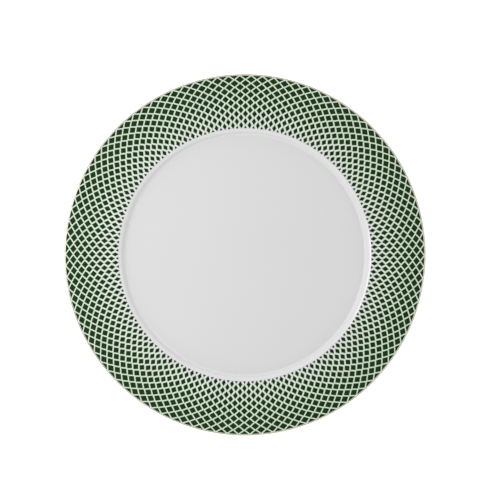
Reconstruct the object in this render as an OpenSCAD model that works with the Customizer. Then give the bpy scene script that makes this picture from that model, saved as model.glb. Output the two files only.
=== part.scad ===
// China dinner plate with a broad rim. The rim carries a lattice of enamel diamonds,
// fired in fifteen staggered rows, and the lip has a fine gilt line.
// Millimetres. The origin is on the table, under the middle of the plate, and +Z is up.

/* [Plate] */
// Overall diameter, across the gilt lip
plate_d = 270; // [268:0.5:280]
// Diameter of the shoulder, where the rim starts
shoulder_d = 190.6; // [189.2:0.2:191.4]
// Depth of the well, from the start of the rim down to the floor
well_depth = 5; // [4.6:0.2:7]
// Steepest slope of the well's wall, in degrees
wall_slope = 66; // [60:1:72]
// Slope of the rim's face, in degrees
rim_slope = 7; // [5:0.5:8]
// Slope of the rim's underside, in degrees
rim_back_slope = 8.5; // [7.5:0.5:9.5]
// Slope of the underside between the belly and the rim, in degrees
wall_back_slope = 48; // [42:1:56]
// Thickness of the floor, glaze included
floor_t = 4.2; // [3.5:0.1:5]
// Radius of the cove between floor and wall
cove_r = 2; // [1.6:0.1:3]
// Radius of the shoulder between wall and rim
shoulder_r = 4; // [3:0.1:4.6]
// Radius of the knee under the shoulder
knee_r = 6; // [4:0.5:8]

/* [Lip] */
// Radius of the lip's upper corner
lip_top_r = 1; // [0.8:0.1:1.4]
// Radius of the lip's lower corner
lip_low_r = 1.4; // [1.2:0.1:2]
// Height of the upright stretch between the two corners
lip_flat = 0.3; // [0.1:0.1:0.6]

/* [Foot ring] */
// Outer diameter of the foot ring
foot_d = 178.4; // [177.4:0.2:179.4]
// Width of the foot ring
foot_w = 4; // [3.4:0.1:5]
// Depth of the recess inside the foot ring
foot_h = 3; // [2.6:0.1:3.4]
// Radius of the fillet at each side of the foot ring
foot_fillet_r = 1; // [0.6:0.1:1.2]
// Radius of the foot ring's two worn bottom corners
foot_corner_r = 0.7; // [0.4:0.1:0.9]
// Height at which the glaze has been wiped off the foot ring
glaze_line_z = 1; // [0.8:0.1:1.2]

/* [Coats] */
// Thickness of the glaze
glaze_t = 0.2; // [0.1:0.05:0.3]
// Height of the enamel above the glaze
enamel_t = 0.06; // [0.04:0.01:0.12]
// Thickness of the gilding on the lip
gilt_t = 0.05; // [0.03:0.01:0.1]

/* [Lattice] */
// Diamonds in each row, all the way around
lattice_count = 98; // [90:2:104]
// Diameter at which the lattice starts, just inside the start of the rim
lattice_d = 189.8; // [189.2:0.2:190.6]
// Gap between the lattice's outer end and the lip
lattice_lip_gap = 1.2; // [1.1:0.05:1.6]
// Turn of the whole lattice about the plate's axis, in degrees
lattice_turn = -0.21; // [-1.5:0.01:1.5]
// Half length of a diamond along the radius, in the first row and in the last
half_long = [2.55, 2.4]; // [1.8:0.05:2.6]
// Half width of a diamond around the plate, in the first row and in the last
half_wide = [1.36, 3.36]; // [1:0.02:3.4]
// Width that is trimmed off the inner side of the first row's half diamonds
lattice_trim = 0.5; // [0.4:0.05:0.9]

/* [Hidden] */
last_row = 14;
lattice_names = [for (row = [0:last_row]) str("lattice_row_", row < 10 ? "0" : "", row)];
$fn = 180;
arc_step = 6;

// Directions along, and square to, the slopes of the section. Square means out of the clay.
function along(a) = [cos(a), sin(a)];
function above(a) = [-sin(a), cos(a)];
function below(a) = [sin(a), -cos(a)];

// Crossing point of two lines, each given by a point on it and its slope.
function cross2(u, v) = u[0] * v[1] - u[1] * v[0];
function meet(p, a, q, b) = p + along(a) * cross2(q - p, along(b)) / cross2(along(a), along(b));

// Points of an arc in the section, from angle a to angle b.
function arc(centre, r, a, b) =
    let (steps = max(1, ceil(abs(b - a) / arc_step)))
    [for (i = [0:steps]) centre + r * along(a + (b - a) * i / steps)];
function reversed(points) = [for (i = [len(points) - 1:-1:0]) points[i]];

// Face of the plate: the cove's centre, the straight part of the wall, then the shoulder's centre.
floor_z = foot_h + floor_t;
wall_run = (well_depth - cove_r * (1 - cos(wall_slope))
    - shoulder_r * (cos(rim_slope) - cos(wall_slope))) / sin(wall_slope);
floor_r = shoulder_d / 2 - cove_r * sin(wall_slope) - wall_run * cos(wall_slope)
    - shoulder_r * (sin(wall_slope) - sin(rim_slope));
cove_c = [floor_r, floor_z + cove_r];
rim_start = [shoulder_d / 2, floor_z + well_depth];
shoulder_c = rim_start + shoulder_r * below(rim_slope);

// Lip: the glazed edge lies inside the gilding.
lip_r = plate_d / 2 - gilt_t;
lip_top_c = meet(rim_start + lip_top_r * below(rim_slope), rim_slope, [lip_r - lip_top_r, 0], 90);
lip_low_c = [lip_r - lip_low_r, lip_top_c[1] - lip_flat];

// Back of the plate: the belly is round about the cove's centre, and the knee touches rim and wall.
belly_r = cove_r + floor_t - 0.1;
rim_back = lip_low_c + lip_low_r * below(rim_back_slope);
wall_back = cove_c + belly_r * below(wall_back_slope);
knee_c = meet(rim_back + knee_r * below(rim_back_slope), rim_back_slope,
    wall_back + knee_r * below(wall_back_slope), wall_back_slope);

// Foot ring: outer fillet between belly and ring, inner fillet between ring and recess.
foot_out_r = foot_d / 2;
foot_in_r = foot_out_r - foot_w;
fillet_out_r = foot_out_r + foot_fillet_r;
fillet_drop = sqrt(pow(belly_r + foot_fillet_r, 2) - pow(fillet_out_r - cove_c[0], 2));
fillet_out_c = [fillet_out_r, cove_c[1] - fillet_drop];
fillet_out_a = atan2(fillet_drop, cove_c[0] - fillet_out_r);
fillet_in_c = [foot_in_r - foot_fillet_r, foot_h - foot_fillet_r];

// Section of the outside, at depth t under the finished surface, from the middle of the face
// out over the lip and back in to the glaze line on the foot ring.
function face_path(t) = concat(
    [[0, floor_z - t]],
    arc(cove_c, cove_r + t, -90, wall_slope - 90),
    arc(shoulder_c, shoulder_r - t, 90 + wall_slope, 90 + rim_slope));
function lip_path(t) = concat(
    arc(lip_top_c, lip_top_r - t, 90 + rim_slope, 0),
    arc(lip_low_c, lip_low_r - t, 0, rim_back_slope - 90));
function back_path(t) = concat(
    arc(knee_c, knee_r + t, 90 + rim_back_slope, 90 + wall_back_slope),
    arc(cove_c, belly_r - t, wall_back_slope - 90, fillet_out_a - 180),
    arc(fillet_out_c, foot_fillet_r + t, fillet_out_a, 180),
    [[foot_out_r - t, glaze_line_z]]);
function outside_path(t) = concat(face_path(t), lip_path(t), back_path(t));

// Section of the recess inside the foot ring, from the glaze line in to the middle.
function recess_path(t) = concat(
    [[foot_in_r + t, glaze_line_z]],
    arc(fillet_in_c, foot_fillet_r + t, 0, 90),
    [[0, foot_h + t]]);

// Bare bottom of the foot ring, in the clay under the glaze.
function foot_path(t) = concat(
    arc([foot_out_r - t - foot_corner_r, foot_corner_r], foot_corner_r, 0, -90),
    arc([foot_in_r + t + foot_corner_r, foot_corner_r], foot_corner_r, -90, -180));

// The clay is turned in one piece: floor, wall, rim and foot ring.
module porcelain_body() {
    color("whitesmoke")
        rotate_extrude()
            polygon(concat(outside_path(glaze_t), foot_path(glaze_t), recess_path(glaze_t)));
}

// One coat of glaze runs over the face, around the lip and down to the foot ring.
module glaze_coat() {
    color("white")
        rotate_extrude()
            polygon(concat(outside_path(0), reversed(outside_path(glaze_t))));
}

// The recess is glazed apart from the rest, because the foot ring's bottom is bare.
module foot_recess_glaze() {
    color("white")
        rotate_extrude()
            polygon(concat(recess_path(0), reversed(recess_path(glaze_t))));
}

// Rows run from the shoulder out to the lip, and every second row is turned by half a cell.
cell = 360 / lattice_count;
row_first_r = lattice_d / 2 - lattice_trim;
row_step = (plate_d / 2 - lattice_lip_gap - row_first_r) / last_row;
function between(ends, row) = ends[0] + (ends[1] - ends[0]) * row / last_row;
function row_r(row) = row_first_r + row_step * row;
function row_turn(row) = 90 + lattice_turn + cell / 2 * (row % 2);
function rim_z(r) = rim_start[1] + (r - rim_start[0]) * tan(rim_slope);

// A diamond with its half length a along X, cut off at X = from on the inner side
// and at X = to on the outer side.
module diamond(a, b, from, to) {
    half_from = b * (1 - abs(from) / a);
    half_to = b * (1 - abs(to) / a);
    polygon(concat(
        half_from > 0 ? [[from, half_from], [from, -half_from]] : [[-a, 0]],
        from < 0 && to > 0 ? [[0, -b]] : [],
        half_to > 0 ? [[to, -half_to], [to, half_to]] : [[a, 0]],
        from < 0 && to > 0 ? [[0, b]] : []));
}

// The first row shows only its outer halves and the last row only its inner halves.
// The enamel has sunk into the glaze as far as the face curves away under a flat diamond,
// around the plate and, in the first two rows, over the shoulder.
module lattice_row(row) {
    r = row_r(row);
    a = between(half_long, row);
    b = between(half_wide, row);
    from = row == 0 ? lattice_trim : -a;
    to = row == last_row ? 0 : a;
    over_shoulder = max(0, rim_start[0] - r - from);
    sunk = pow(b, 2) / (2 * r) + pow(over_shoulder, 2) / (2 * shoulder_r);
    color("darkgreen")
        for (n = [0:lattice_count - 1])
            rotate([0, 0, row_turn(row) + cell * n])
                translate([r, 0, rim_z(r)])
                    rotate([0, -rim_slope, 0])
                        translate([0, 0, -sunk])
                            linear_extrude(enamel_t + sunk)
                                diamond(a, b, from, to);
}

// Thin gilding over the lip's upper corner and down its edge, between two angles in degrees.
gilt_top_a = 79;
gilt_low_a = -24;
function gilt_path(t) = concat(
    arc(lip_top_c, lip_top_r + t, gilt_top_a, 0),
    arc(lip_low_c, lip_low_r + t, 0, gilt_low_a));

module gilt_lip_band() {
    color("goldenrod")
        rotate_extrude()
            polygon(concat(gilt_path(gilt_t), reversed(gilt_path(0))));
}

porcelain_body();
glaze_coat();
foot_recess_glaze();
for (row = [0:last_row])
    lattice_row(row);
gilt_lip_band();
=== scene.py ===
"""A china dinner plate: white glazed porcelain, a rim of green enamel diamonds and a gilt lip."""

import math
import random

import bpy
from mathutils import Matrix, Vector


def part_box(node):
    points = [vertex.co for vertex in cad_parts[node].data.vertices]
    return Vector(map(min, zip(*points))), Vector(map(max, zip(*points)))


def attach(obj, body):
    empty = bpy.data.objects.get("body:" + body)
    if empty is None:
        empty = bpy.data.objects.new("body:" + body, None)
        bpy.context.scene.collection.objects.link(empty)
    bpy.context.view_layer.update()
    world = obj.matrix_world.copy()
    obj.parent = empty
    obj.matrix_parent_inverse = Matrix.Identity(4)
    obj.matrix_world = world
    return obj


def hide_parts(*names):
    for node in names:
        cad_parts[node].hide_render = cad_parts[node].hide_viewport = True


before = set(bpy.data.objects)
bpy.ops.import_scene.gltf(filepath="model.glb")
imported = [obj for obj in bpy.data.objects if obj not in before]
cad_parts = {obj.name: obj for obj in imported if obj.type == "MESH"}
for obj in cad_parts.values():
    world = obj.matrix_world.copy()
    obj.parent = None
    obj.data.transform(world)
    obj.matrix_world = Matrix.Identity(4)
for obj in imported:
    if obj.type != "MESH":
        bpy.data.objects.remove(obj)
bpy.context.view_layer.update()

MM = 0.001            # a millimetre, in metres

# ---------------------------------------------------------------------------------------------
# Sizes in millimetres and slopes in degrees, with the CAD source's names and values.
# ---------------------------------------------------------------------------------------------
PLATE_D = 270.0
SHOULDER_D = 190.6
WELL_DEPTH = 5.0
WALL_SLOPE = 66.0
RIM_SLOPE = 7.0
RIM_BACK_SLOPE = 8.5
WALL_BACK_SLOPE = 48.0
FLOOR_T = 4.2
COVE_R = 2.0
SHOULDER_R = 4.0
KNEE_R = 6.0
LIP_TOP_R = 1.0
LIP_LOW_R = 1.4
LIP_FLAT = 0.3
FOOT_D = 178.4
FOOT_W = 4.0
FOOT_H = 3.0
FOOT_FILLET_R = 1.0
FOOT_CORNER_R = 0.7
GLAZE_LINE_Z = 1.0
GLAZE_T = 0.2
ENAMEL_T = 0.06
GILT_T = 0.05
GILT_TOP_A = 79.0
GILT_LOW_A = -24.0
LATTICE_COUNT = 98
LATTICE_D = 189.8
LATTICE_LIP_GAP = 1.2
LATTICE_TURN = -0.21
LATTICE_TRIM = 0.5
HALF_LONG = (2.55, 2.4)
HALF_WIDE = (1.36, 3.36)
LAST_ROW = 14

BELLY_INSET = 0.1     # the belly's radius falls this much short of the cove's and the floor's together

# How finely the visual meshes are cut.
SEGMENTS = 400        # around the plate
FINE = 3.0            # degrees of arc a step, on surfaces that show
COARSE = 6.0          # degrees of arc a step, on hidden surfaces, the foot ring and the recess
SMALL_ARC = 2         # steps are this many times as long on the small radii of lip and foot
LONGEST = 9.0         # longest straight step in a section
HOLD = 0.3            # a ring this far from each end of a straight keeps the flats flat
SHORTEST = 3 * HOLD   # a straight no longer than this is left whole
ON_AXIS = 1e-6        # a point nearer the axis than this is on it
SIZE_SLACK = 0.1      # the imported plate's radius may differ from this script's by so much

packed_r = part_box("gilt_lip_band")[1][0] / MM
if abs(packed_r - PLATE_D / 2) > SIZE_SLACK:
    raise SystemExit("the packed plate isn't the size that this script is drawn for")


# ---------------------------------------------------------------------------------------------
# The plate's section, as points (distance from the axis, height). It is the CAD's own section,
# cut finer: each path runs at depth t under the finished surface.
# ---------------------------------------------------------------------------------------------
def sin(a):
    return math.sin(math.radians(a))


def cos(a):
    return math.cos(math.radians(a))


def tan(a):
    return math.tan(math.radians(a))


def along(a):
    """The direction of slope a."""
    return Vector((cos(a), sin(a)))


def below(a):
    """The direction square to slope a, downwards."""
    return Vector((sin(a), -cos(a)))


def meet(p, a, q, b):
    """The crossing point of a line through p with slope a and a line through q with slope b."""
    return p + along(a) * ((q - p).cross(along(b)) / along(a).cross(along(b)))


def arc(centre, r, a, b, step):
    """Points of an arc from angle a to angle b, no more than step degrees apart."""
    steps = max(1, math.ceil(abs(b - a) / step))
    return [centre + r * along(a + (b - a) * i / steps) for i in range(steps + 1)]


# Face of the plate: the cove's centre, the straight part of the wall, then the shoulder's centre.
FLOOR_Z = FOOT_H + FLOOR_T
WALL_RUN = (WELL_DEPTH - COVE_R * (1 - cos(WALL_SLOPE))
            - SHOULDER_R * (cos(RIM_SLOPE) - cos(WALL_SLOPE))) / sin(WALL_SLOPE)
FLOOR_R = (SHOULDER_D / 2 - COVE_R * sin(WALL_SLOPE) - WALL_RUN * cos(WALL_SLOPE)
           - SHOULDER_R * (sin(WALL_SLOPE) - sin(RIM_SLOPE)))
COVE_C = Vector((FLOOR_R, FLOOR_Z + COVE_R))
RIM_START = Vector((SHOULDER_D / 2, FLOOR_Z + WELL_DEPTH))
SHOULDER_C = RIM_START + SHOULDER_R * below(RIM_SLOPE)

# Lip: the glazed edge lies inside the gilding.
LIP_R = PLATE_D / 2 - GILT_T
LIP_TOP_C = meet(RIM_START + LIP_TOP_R * below(RIM_SLOPE), RIM_SLOPE,
                 Vector((LIP_R - LIP_TOP_R, 0)), 90)
LIP_LOW_C = Vector((LIP_R - LIP_LOW_R, LIP_TOP_C.y - LIP_FLAT))

# Back: the belly is round about the cove's centre, and the knee touches rim and wall.
BELLY_R = COVE_R + FLOOR_T - BELLY_INSET
RIM_BACK = LIP_LOW_C + LIP_LOW_R * below(RIM_BACK_SLOPE)
WALL_BACK = COVE_C + BELLY_R * below(WALL_BACK_SLOPE)
KNEE_C = meet(RIM_BACK + KNEE_R * below(RIM_BACK_SLOPE), RIM_BACK_SLOPE,
              WALL_BACK + KNEE_R * below(WALL_BACK_SLOPE), WALL_BACK_SLOPE)

# Foot ring: one fillet between belly and ring, and one between ring and recess.
FOOT_OUT_R = FOOT_D / 2
FOOT_IN_R = FOOT_OUT_R - FOOT_W
FILLET_OUT_R = FOOT_OUT_R + FOOT_FILLET_R
FILLET_DROP = math.sqrt((BELLY_R + FOOT_FILLET_R) ** 2 - (FILLET_OUT_R - COVE_C.x) ** 2)
FILLET_OUT_C = Vector((FILLET_OUT_R, COVE_C.y - FILLET_DROP))
FILLET_OUT_A = math.degrees(math.atan2(FILLET_DROP, COVE_C.x - FILLET_OUT_R))
FILLET_IN_C = Vector((FOOT_IN_R - FOOT_FILLET_R, FOOT_H - FOOT_FILLET_R))


def outside_path(t, step):
    """From the middle of the face, over the lip, to the glaze line on the foot ring. The belly
    ends where the foot's fillet starts, so the fillet leaves its first point out."""
    return ([Vector((0, FLOOR_Z - t))]
            + arc(COVE_C, COVE_R + t, -90, WALL_SLOPE - 90, step)
            + arc(SHOULDER_C, SHOULDER_R - t, 90 + WALL_SLOPE, 90 + RIM_SLOPE, step)
            + arc(LIP_TOP_C, LIP_TOP_R - t, 90 + RIM_SLOPE, 0, step * SMALL_ARC)
            + arc(LIP_LOW_C, LIP_LOW_R - t, 0, RIM_BACK_SLOPE - 90, step * SMALL_ARC)
            + arc(KNEE_C, KNEE_R + t, 90 + RIM_BACK_SLOPE, 90 + WALL_BACK_SLOPE, step)
            + arc(COVE_C, BELLY_R - t, WALL_BACK_SLOPE - 90, FILLET_OUT_A - 180, step)
            + arc(FILLET_OUT_C, FOOT_FILLET_R + t, FILLET_OUT_A, 180, step * SMALL_ARC)[1:]
            + [Vector((FOOT_OUT_R - t, GLAZE_LINE_Z))])


def recess_path(t, step):
    """From the glaze line inside the foot ring to the middle of the recess."""
    return ([Vector((FOOT_IN_R + t, GLAZE_LINE_Z))]
            + arc(FILLET_IN_C, FOOT_FILLET_R + t, 0, 90, step)
            + [Vector((0, FOOT_H + t))])


def foot_path(t):
    """Around the bare bottom of the foot ring."""
    outer = Vector((FOOT_OUT_R - t - FOOT_CORNER_R, FOOT_CORNER_R))
    inner = Vector((FOOT_IN_R + t + FOOT_CORNER_R, FOOT_CORNER_R))
    return (arc(outer, FOOT_CORNER_R, 0, -90, COARSE)
            + arc(inner, FOOT_CORNER_R, -90, -180, COARSE))


def gilt_path(t, step):
    """Over the lip's upper corner and down its edge, at height t over the glaze."""
    return (arc(LIP_TOP_C, LIP_TOP_R + t, GILT_TOP_A, 0, step)
            + arc(LIP_LOW_C, LIP_LOW_R + t, 0, GILT_LOW_A, step))


def held(path):
    """The path with its straights cut up, and with a ring near each of their ends."""
    out = [path[0]]
    for p, q in zip(path, path[1:]):
        length = (q - p).length
        if length > SHORTEST:
            steps = math.ceil((length - 2 * HOLD) / LONGEST)
            for i in range(steps + 1):
                out.append(p.lerp(q, (HOLD + (length - 2 * HOLD) * i / steps) / length))
        out.append(q)
    return out


def face_point(r):
    """The face at distance r from the axis, from the shoulder to the lip, and its normal."""
    lip_start = LIP_TOP_C.x - LIP_TOP_R * sin(RIM_SLOPE)
    if RIM_START.x <= r <= lip_start:
        rise = (r - RIM_START.x) * tan(RIM_SLOPE)
        return Vector((r, RIM_START.y + rise)), -below(RIM_SLOPE)
    centre, radius = (SHOULDER_C, SHOULDER_R) if r < RIM_START.x else (LIP_TOP_C, LIP_TOP_R)
    out = r - centre.x
    up = math.sqrt(radius ** 2 - out ** 2)
    return Vector((r, centre.y + up)), Vector((out, up)) / radius


# ---------------------------------------------------------------------------------------------
# Meshes
# ---------------------------------------------------------------------------------------------
def add_piece(name, verts, faces, material, node, slot):
    """A smooth-shaded piece on the one body, standing for the CAD node named."""
    mesh = bpy.data.meshes.new(name)
    mesh.from_pydata([tuple(MM * c for c in v) for v in verts], [], faces)
    mesh.validate()
    mesh.materials.append(material)
    for polygon in mesh.polygons:
        polygon.use_smooth = True
    piece = bpy.data.objects.new(name, mesh)
    bpy.context.scene.collection.objects.link(piece)
    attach(piece, "root")
    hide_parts(node)
    return piece


def lathe(outline):
    """Vertices and faces of an outline turned about the axis. The outline runs with the solid
    on its right, and is closed from its last point to its first, unless both are on the axis."""
    verts, faces, rings = [], [], []
    for p in outline:
        count = 1 if p.x < ON_AXIS else SEGMENTS
        rings.append((len(verts), count))
        for i in range(count):
            a = 2 * math.pi * i / SEGMENTS
            verts.append((p.x * math.cos(a), p.x * math.sin(a), p.y))
    pairs = list(zip(rings, rings[1:]))
    if rings[0][1] > 1:
        pairs.append((rings[-1], rings[0]))
    for (a, a_count), (b, b_count) in pairs:
        if a_count == 1 and b_count == 1:
            continue
        for i in range(SEGMENTS):
            j = (i + 1) % SEGMENTS
            if a_count == 1:
                faces.append((a, b + i, b + j))
            elif b_count == 1:
                faces.append((a + j, a + i, b))
            else:
                faces.append((a + j, a + i, b + i, b + j))
    return verts, faces


def rounded(corners, radius, steps):
    """The outline of a polygon with its corners rounded."""
    out = []
    for i, p in enumerate(corners):
        before = (corners[i - 1] - p).normalized()
        after = (corners[(i + 1) % len(corners)] - p).normalized()
        half = before.angle(after) / 2
        centre = p + (before + after).normalized() * (radius / math.sin(half))
        reach = radius / math.tan(half)
        start = p + before * reach - centre
        turn = math.pi - 2 * half
        for k in range(steps + 1):
            a = turn * k / steps
            out.append(centre + Vector((start.x * math.cos(a) - start.y * math.sin(a),
                                        start.x * math.sin(a) + start.y * math.cos(a))))
    return out


def diamond(a, b, trim_from, trim_to):
    """Corners of a diamond, counter-clockwise, cut off at two distances along its length."""
    corners = []
    if trim_from > -a:
        half = b * (1 - abs(trim_from) / a)
        corners += [(trim_from, half), (trim_from, -half)]
    else:
        corners += [(-a, 0)]
    if trim_from < 0 < trim_to:
        corners += [(0, -b)]
    if trim_to < a:
        half = b * (1 - abs(trim_to) / a)
        corners += [(trim_to, -half), (trim_to, half)]
    else:
        corners += [(a, 0)]
    if trim_from < 0 < trim_to:
        corners += [(0, b)]
    return [Vector(c) for c in corners]


# A patch of enamel, as rings from its edge in: share of its size, and height over the glaze.
PATCH_ROOT = -0.03                 # its underside is sunk into the glaze
PATCH_CROWN = 1.06 * ENAMEL_T      # its middle stands highest
PATCH_RINGS = ((1.0, PATCH_ROOT), (1.0, 0.45 * ENAMEL_T), (0.97, 0.8 * ENAMEL_T),
               (0.9, ENAMEL_T), (0.5, 1.05 * ENAMEL_T))
PATCH_CORNER_R = 0.16
PATCH_CORNER_STEPS = 3


def between(ends, row):
    """A row's share of a value given for the first row and for the last."""
    return ends[0] + (ends[1] - ends[0]) * row / LAST_ROW


def enamel_row(row):
    """Vertices and faces of a row's patches, and for each vertex the tone of its patch."""
    first_r = LATTICE_D / 2 - LATTICE_TRIM
    row_r = first_r + (PLATE_D / 2 - LATTICE_LIP_GAP - first_r) * row / LAST_ROW
    a, b = between(HALF_LONG, row), between(HALF_WIDE, row)
    corners = diamond(a, b, LATTICE_TRIM if row == 0 else -a, 0 if row == LAST_ROW else a)
    edge = rounded(corners, PATCH_CORNER_R, PATCH_CORNER_STEPS)
    middle = sum(edge, Vector((0, 0))) / len(edge)
    cell = 360 / LATTICE_COUNT
    turn = 90 + LATTICE_TURN + (cell / 2 if row % 2 else 0)
    draw = random.Random(row)
    verts, faces, tones = [], [], []

    def put(flat, lift, spin):
        """A vertex at a flat point of the diamond, laid on the face and lifted off it."""
        point, normal = face_point(row_r + flat.x)
        point = point + normal * lift
        angle = math.radians(spin) + flat.y / row_r
        verts.append((point.x * math.cos(angle), point.x * math.sin(angle), point.y))

    for n in range(LATTICE_COUNT):
        spin = turn + cell * n
        start = len(verts)
        for share, lift in PATCH_RINGS:
            for p in edge:
                put(middle + (p - middle) * share, lift, spin)
        put(middle, PATCH_CROWN, spin)
        put(middle, PATCH_ROOT, spin)
        top, bottom = len(verts) - 2, len(verts) - 1
        count = len(edge)
        for i in range(count):
            j = (i + 1) % count
            for ring in range(len(PATCH_RINGS) - 1):
                low, high = start + ring * count, start + (ring + 1) * count
                faces.append((low + i, low + j, high + j, high + i))
            last = start + (len(PATCH_RINGS) - 1) * count
            faces.append((last + i, last + j, top))
            faces.append((start + j, start + i, bottom))
        tones += [draw.random()] * (len(verts) - start)
    return verts, faces, tones


# ---------------------------------------------------------------------------------------------
# Materials
# ---------------------------------------------------------------------------------------------
# Colours. Those in pairs are mixed, by a noise or by the distance from the axis.
GLAZE_WHITES = ((0.795, 0.797, 0.797), (0.812, 0.812, 0.808))
# painted shade: the darker, cooler white that stands in for the shade in the cove
GLAZE_COVE_SHADE = (0.770, 0.788, 0.785)
GLAZE_GREENS = ((0.742, 0.835, 0.716), (0.702, 0.832, 0.668))          # inner rows, outer rows
ENAMEL_DARKS = ((0.0092, 0.0243, 0.0067), (0.0105, 0.0335, 0.0072))    # inner rows, outer rows
ENAMEL_LIGHTS = ((0.0127, 0.0353, 0.0092), (0.0145, 0.0460, 0.0098))   # inner rows, outer rows
GOLDS = ((0.60, 0.55, 0.385), (0.70, 0.67, 0.535))                     # thick, thin
CLAYS = ((0.74, 0.72, 0.67), (0.60, 0.57, 0.52))                       # clean, stained
FLOOR_WHITES = ((0.86, 0.86, 0.86), (0.87, 0.87, 0.87))

# Where the looks change, in millimetres.
COVE_STARTS = (-0.8, 0.2)      # past the floor's edge, where the cove's painted shade and softer sheen begin
COVE_ENDS = (2.6, 1.4)         # past the floor's edge, where they have stopped, read from outside in
FACE_DEPTHS = (1.2, 0.6)       # what lies deeper than this under the rim's face is the back
BLEED_WIDTH = 3.5              # the green comes in over this width from the lattice's inner end
BLEED_ENDS = (0.2, -0.6)       # past the lattice's outer end, where the green stops, outside in
GREEN_TURN = (97, 122)         # radii between which the glaze's green turns from inner to outer
ENAMEL_TURN = (94, 125)        # and the enamel's

COVE_SHADE_SHARE = 0.25             # share of the cove's painted shade, a darker and cooler white
COVE_ROUGHER = 0.3           # added to the roughness in the cove
TONE_SHARE = 0.55              # how much of the enamel's unevenness is from patch to patch
GRAIN_SHARE = 0.45             # and how much is within a patch
NOISE_SPAN = (0.3, 0.7)        # most of a noise lies between these


def mm(*lengths):
    return [length * MM for length in lengths]


def smooth_step(tree, value, low, high, to_low=0.0, to_high=1.0):
    """A smooth step of value, from to_low at low to to_high at high."""
    node = tree.nodes.new("ShaderNodeMapRange")
    node.interpolation_type = "SMOOTHSTEP"
    for name, number in (("From Min", low), ("From Max", high),
                         ("To Min", to_low), ("To Max", to_high)):
        node.inputs[name].default_value = number
    tree.links.new(value, node.inputs["Value"])
    return node.outputs["Result"]


class Shader:
    """A material's node tree, with short calls for the nodes used here."""

    def __init__(self, name):
        self.material = bpy.data.materials.new(name)
        self.material.use_nodes = True
        self.tree = self.material.node_tree
        self.base = self.tree.nodes["Principled BSDF"]
        self.place = self.node("ShaderNodeTexCoord").outputs["Object"]

    def node(self, kind, **settings):
        node = self.tree.nodes.new(kind)
        for key, value in settings.items():
            setattr(node, key, value)
        return node

    def link(self, output, socket):
        self.tree.links.new(output, socket)

    def noise(self, scale, detail=2.0, roughness=0.5):
        node = self.node("ShaderNodeTexNoise")
        node.inputs["Scale"].default_value = scale
        node.inputs["Detail"].default_value = detail
        node.inputs["Roughness"].default_value = roughness
        self.link(self.place, node.inputs["Vector"])
        return node.outputs["Fac"]

    def ramp(self, value, low, high, to_low=0.0, to_high=1.0):
        return smooth_step(self.tree, value, low, high, to_low, to_high)

    def calculate(self, operation, first, second):
        """The result of one operation on two values, each a number or an output."""
        node = self.node("ShaderNodeMath", operation=operation)
        for value, socket in zip((first, second), node.inputs):
            if isinstance(value, (int, float)):
                socket.default_value = value
            else:
                self.link(value, socket)
        return node.outputs["Value"]

    def times(self, first, second):
        return self.calculate("MULTIPLY", first, second)

    def plus(self, first, second):
        return self.calculate("ADD", first, second)

    def minus(self, first, second):
        return self.calculate("SUBTRACT", first, second)

    def radius(self):
        """Distance from the plate's axis, in metres."""
        flat = self.node("ShaderNodeVectorMath", operation="MULTIPLY")
        flat.inputs[1].default_value = (1, 1, 0)
        self.link(self.place, flat.inputs[0])
        length = self.node("ShaderNodeVectorMath", operation="LENGTH")
        self.link(flat.outputs["Vector"], length.inputs[0])
        return length.outputs["Value"]

    def height(self):
        """Height above the table, in metres."""
        split = self.node("ShaderNodeSeparateXYZ")
        self.link(self.place, split.inputs["Vector"])
        return split.outputs["Z"]

    def mix(self, factor, first, second):
        """A mix of two colours, each a tuple or an output."""
        node = self.node("ShaderNodeMix", data_type="RGBA")
        self.link(factor, node.inputs["Factor"])
        for value, name in ((first, "A"), (second, "B")):
            socket = [s for s in node.inputs if s.name == name and s.type == "RGBA"][0]
            if isinstance(value, tuple):
                socket.default_value = (*value, 1)
            else:
                self.link(value, socket)
        return [s for s in node.outputs if s.type == "RGBA"][0]

    def colour(self, output):
        self.link(output, self.base.inputs["Base Color"])

    def roughness(self, output):
        self.link(output, self.base.inputs["Roughness"])

    def bump(self, height, distance):
        """A bump, whose distance is in metres."""
        node = self.node("ShaderNodeBump")
        node.inputs["Distance"].default_value = distance
        self.link(height, node.inputs["Height"])
        self.link(node.outputs["Normal"], self.base.inputs["Normal"])

    def constant(self, name, value):
        self.base.inputs[name].default_value = value


def cove_band(s, radius):
    """1 in the cove and 0 elsewhere: where the glaze is painted darker and cooler, as shade, and made
    rougher.
    """
    starts = s.ramp(radius, *mm(FLOOR_R + COVE_STARTS[0], FLOOR_R + COVE_STARTS[1]))
    ends = s.ramp(radius, *mm(FLOOR_R + COVE_ENDS[0], FLOOR_R + COVE_ENDS[1]))
    return s.times(starts, ends)


def bled_glaze(s, radius):
    """1 on the face between the lattice's two ends, and 0 elsewhere."""
    lattice_in = LATTICE_D / 2
    lattice_out = PLATE_D / 2 - LATTICE_LIP_GAP
    inner = s.ramp(radius, *mm(lattice_in, lattice_in + BLEED_WIDTH))
    outer = s.ramp(radius, *mm(lattice_out + BLEED_ENDS[0], lattice_out + BLEED_ENDS[1]))
    # The rim's face rises with the radius, so what lies well below that line is the back.
    over = s.minus(s.height(), s.times(radius, tan(RIM_SLOPE)))
    face = RIM_START.y - RIM_START.x * tan(RIM_SLOPE)
    on_face = s.ramp(over, *mm(face - FACE_DEPTHS[0], face - FACE_DEPTHS[1]))
    return s.times(s.times(inner, outer), on_face)


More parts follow.
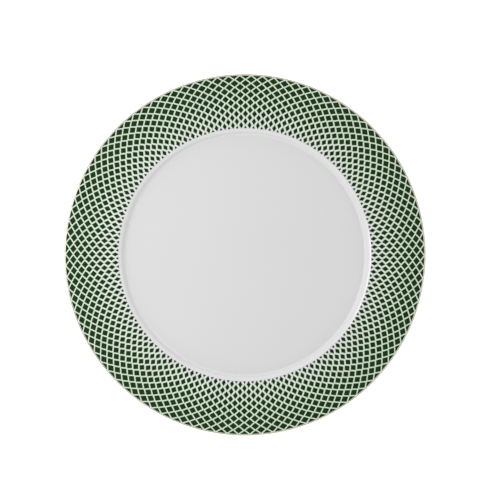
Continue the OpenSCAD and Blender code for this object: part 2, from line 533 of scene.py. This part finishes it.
def white_glaze():
    """Glossy white. It is a little green where the lattice's colour has bled, and in the cove it is
    painted darker and cooler, as shade, with a softer sheen there."""
    s = Shader("white_glaze")
    radius = s.radius()
    in_cove = cove_band(s, radius)
    white = s.mix(s.noise(scale=14, detail=3), *GLAZE_WHITES)
    # painted shade: the cove's white turns darker and cooler
    white = s.mix(s.times(in_cove, COVE_SHADE_SHARE), white, GLAZE_COVE_SHADE)
    green = s.mix(s.ramp(radius, *mm(*GREEN_TURN)), *GLAZE_GREENS)
    s.colour(s.mix(bled_glaze(s, radius), white, green))
    gloss = s.ramp(s.noise(scale=90), *NOISE_SPAN, to_low=0.05, to_high=0.09)
    s.roughness(s.plus(gloss, s.times(in_cove, COVE_ROUGHER)))
    s.bump(s.noise(scale=55, roughness=0.4), distance=0.04 * MM)
    s.constant("IOR", 1.6)
    return s.material


def green_enamel():
    """Deep green, raised and glossy, a little uneven within a patch and from patch to patch."""
    s = Shader("green_enamel")
    tone = s.node("ShaderNodeAttribute", attribute_name="tone").outputs["Fac"]
    grain = s.ramp(s.noise(scale=1500, detail=3, roughness=0.6), *NOISE_SPAN)
    blend = s.plus(s.times(tone, TONE_SHARE), s.times(grain, GRAIN_SHARE))
    outward = s.ramp(s.radius(), *mm(*ENAMEL_TURN))
    s.colour(s.mix(blend, s.mix(outward, *ENAMEL_DARKS), s.mix(outward, *ENAMEL_LIGHTS)))
    s.roughness(s.ramp(s.noise(scale=700), *NOISE_SPAN, to_low=0.14, to_high=0.24))
    s.bump(s.noise(scale=900), distance=0.006 * MM)
    s.constant("IOR", 1.5)
    s.constant("Specular IOR Level", 0.15)
    return s.material


def gilding():
    """Burnished gold, thinner in places."""
    s = Shader("gilding")
    s.colour(s.mix(s.ramp(s.noise(scale=70, detail=4, roughness=0.7), low=0.42, high=0.72), *GOLDS))
    s.roughness(s.ramp(s.noise(scale=800, detail=3), *NOISE_SPAN, to_low=0.16, to_high=0.30))
    s.bump(s.noise(scale=1600), distance=0.01 * MM)
    s.constant("Metallic", 1.0)
    return s.material


def bisque():
    """Bare fired clay on the foot ring: matt, sandy and faintly stained by use."""
    s = Shader("bisque")
    s.colour(s.mix(s.ramp(s.noise(scale=160, detail=5, roughness=0.65), low=0.45, high=0.75), *CLAYS))
    s.roughness(s.ramp(s.noise(scale=1200), low=0.2, high=0.8, to_low=0.72, to_high=0.92))
    s.bump(s.noise(scale=2600, detail=3, roughness=0.6), distance=0.05 * MM)
    return s.material


# ---------------------------------------------------------------------------------------------
# The plate
# ---------------------------------------------------------------------------------------------
def make_plate():
    """The plate's pieces. A lathe outline runs out along one surface and back along another."""
    glaze = white_glaze()
    enamel = green_enamel()

    clay_outline = (outside_path(GLAZE_T, COARSE) + foot_path(GLAZE_T)
                    + recess_path(GLAZE_T, COARSE))
    add_piece("porcelain", *lathe(clay_outline), bisque(), "porcelain_body", "bisque")

    coat_outline = (held(outside_path(0, FINE))
                    + list(reversed(outside_path(GLAZE_T, COARSE))))
    add_piece("glaze", *lathe(coat_outline), glaze, "glaze_coat", "white_glaze")

    recess_outline = (held(recess_path(0, COARSE))
                      + list(reversed(recess_path(GLAZE_T, COARSE))))
    add_piece("recess_glaze", *lathe(recess_outline), glaze, "foot_recess_glaze", "white_glaze")

    for row in range(LAST_ROW + 1):
        verts, faces, tones = enamel_row(row)
        piece = add_piece(f"enamel_row_{row:02d}", verts, faces, enamel,
                          f"lattice_row_{row:02d}", "green_enamel")
        tone = piece.data.attributes.new("tone", "FLOAT", "POINT")
        tone.data.foreach_set("value", tones)

    gilt_outline = gilt_path(GILT_T, FINE) + list(reversed(gilt_path(0, FINE)))
    add_piece("gilding", *lathe(gilt_outline), gilding(), "gilt_lip_band", "gilding")


# ---------------------------------------------------------------------------------------------
# Floor, light and camera. Lengths here are in metres and angles in degrees.
# ---------------------------------------------------------------------------------------------
FLOOR_SIZE = 12.0
KEY_AZIMUTH = 169.0        # the key light stands to the left and a little behind
KEY_ELEVATION = 55.0
KEY_DISTANCE = 0.72
KEY_WIDTH = 0.36
KEY_HEIGHT = 0.46
KEY_WATTS = 2.20
SKY_LOW = 1.02             # strength of the surround near the horizon
SKY_TOP = 0.09             # and straight above
SKY_BAND = (0.40, 0.92)    # heights of a direction between which the one turns into the other
SKY_FILL = 0.40            # added high on the right, opposite the key light
FILL_FROM = (0.0, 0.16)    # how far to the right a direction points where the fill comes in
FILL_ABOVE = (0.45, 0.80)  # and how high it points
FLOOR_GLOW = 0.50          # the floor glows a little, so that it is as white as paper
GLOW_FROM = 0.108          # but not under the plate, which keeps its own shadow
GLOW_TO = 0.136
LENS = 100.0               # millimetres
FRAME_WIDTH = 0.3738       # width of the view at the height of the aim
AIM = Vector((0.0038, 0.0036, 0.015))


def make_floor():
    """A plain white floor, which glows outside the plate's footprint."""
    mesh = bpy.data.meshes.new("floor")
    h = FLOOR_SIZE / 2
    mesh.from_pydata([(-h, -h, 0), (h, -h, 0), (h, h, 0), (-h, h, 0)], [], [(0, 1, 2, 3)])
    floor = bpy.data.objects.new("floor", mesh)
    bpy.context.scene.collection.objects.link(floor)
    s = Shader("floor")
    s.colour(s.mix(s.noise(scale=3), *FLOOR_WHITES))
    s.constant("Roughness", 0.9)
    s.constant("Specular IOR Level", 0.0)
    s.constant("Emission Color", (1, 1, 1, 1))
    glow = s.ramp(s.radius(), GLOW_FROM, GLOW_TO, to_high=FLOOR_GLOW)
    s.link(glow, s.base.inputs["Emission Strength"])
    mesh.materials.append(s.material)


def make_world():
    """A pale surround, dimmer straight above, with a soft panel high on the right."""
    world = bpy.data.worlds.new("studio")
    bpy.context.scene.world = world
    world.use_nodes = True
    tree = world.node_tree
    background = tree.nodes["Background"]
    direction = tree.nodes.new("ShaderNodeTexCoord").outputs["Generated"]
    split = tree.nodes.new("ShaderNodeSeparateXYZ")
    tree.links.new(direction, split.inputs["Vector"])
    to_right, upwards = split.outputs["X"], split.outputs["Z"]

    strength = tree.nodes.new("ShaderNodeMath")
    strength.operation = "MULTIPLY_ADD"
    fill = smooth_step(tree, to_right, *FILL_FROM, to_high=SKY_FILL)
    above = smooth_step(tree, upwards, *FILL_ABOVE)
    sky = smooth_step(tree, upwards, *SKY_BAND, to_low=SKY_LOW, to_high=SKY_TOP)
    for value, socket in zip((fill, above, sky), strength.inputs):
        tree.links.new(value, socket)
    tree.links.new(strength.outputs["Value"], background.inputs["Strength"])
    background.inputs["Color"].default_value = (1, 1, 1, 1)


def make_key():
    """One soft rectangular light, aimed at the middle of the plate."""
    light = bpy.data.lights.new("key", "AREA")
    light.shape = "RECTANGLE"
    light.size = KEY_WIDTH
    light.size_y = KEY_HEIGHT
    light.energy = KEY_WATTS
    key = bpy.data.objects.new("key", light)
    bpy.context.scene.collection.objects.link(key)
    key.location = KEY_DISTANCE * Vector((cos(KEY_ELEVATION) * cos(KEY_AZIMUTH),
                                          cos(KEY_ELEVATION) * sin(KEY_AZIMUTH),
                                          sin(KEY_ELEVATION)))
    key.rotation_euler = key.location.to_track_quat("Z", "Y").to_euler()


def make_camera():
    """Straight above the aim, with +Y up in the picture."""
    data = bpy.data.cameras.new("camera")
    data.lens = LENS
    camera = bpy.data.objects.new("camera", data)
    bpy.context.scene.collection.objects.link(camera)
    camera.location = AIM + Vector((0, 0, FRAME_WIDTH * LENS / data.sensor_width))
    bpy.context.scene.camera = camera


make_camera()
make_floor()
make_world()
make_key()
make_plate()
bpy.context.scene.view_settings.view_transform = "Standard"
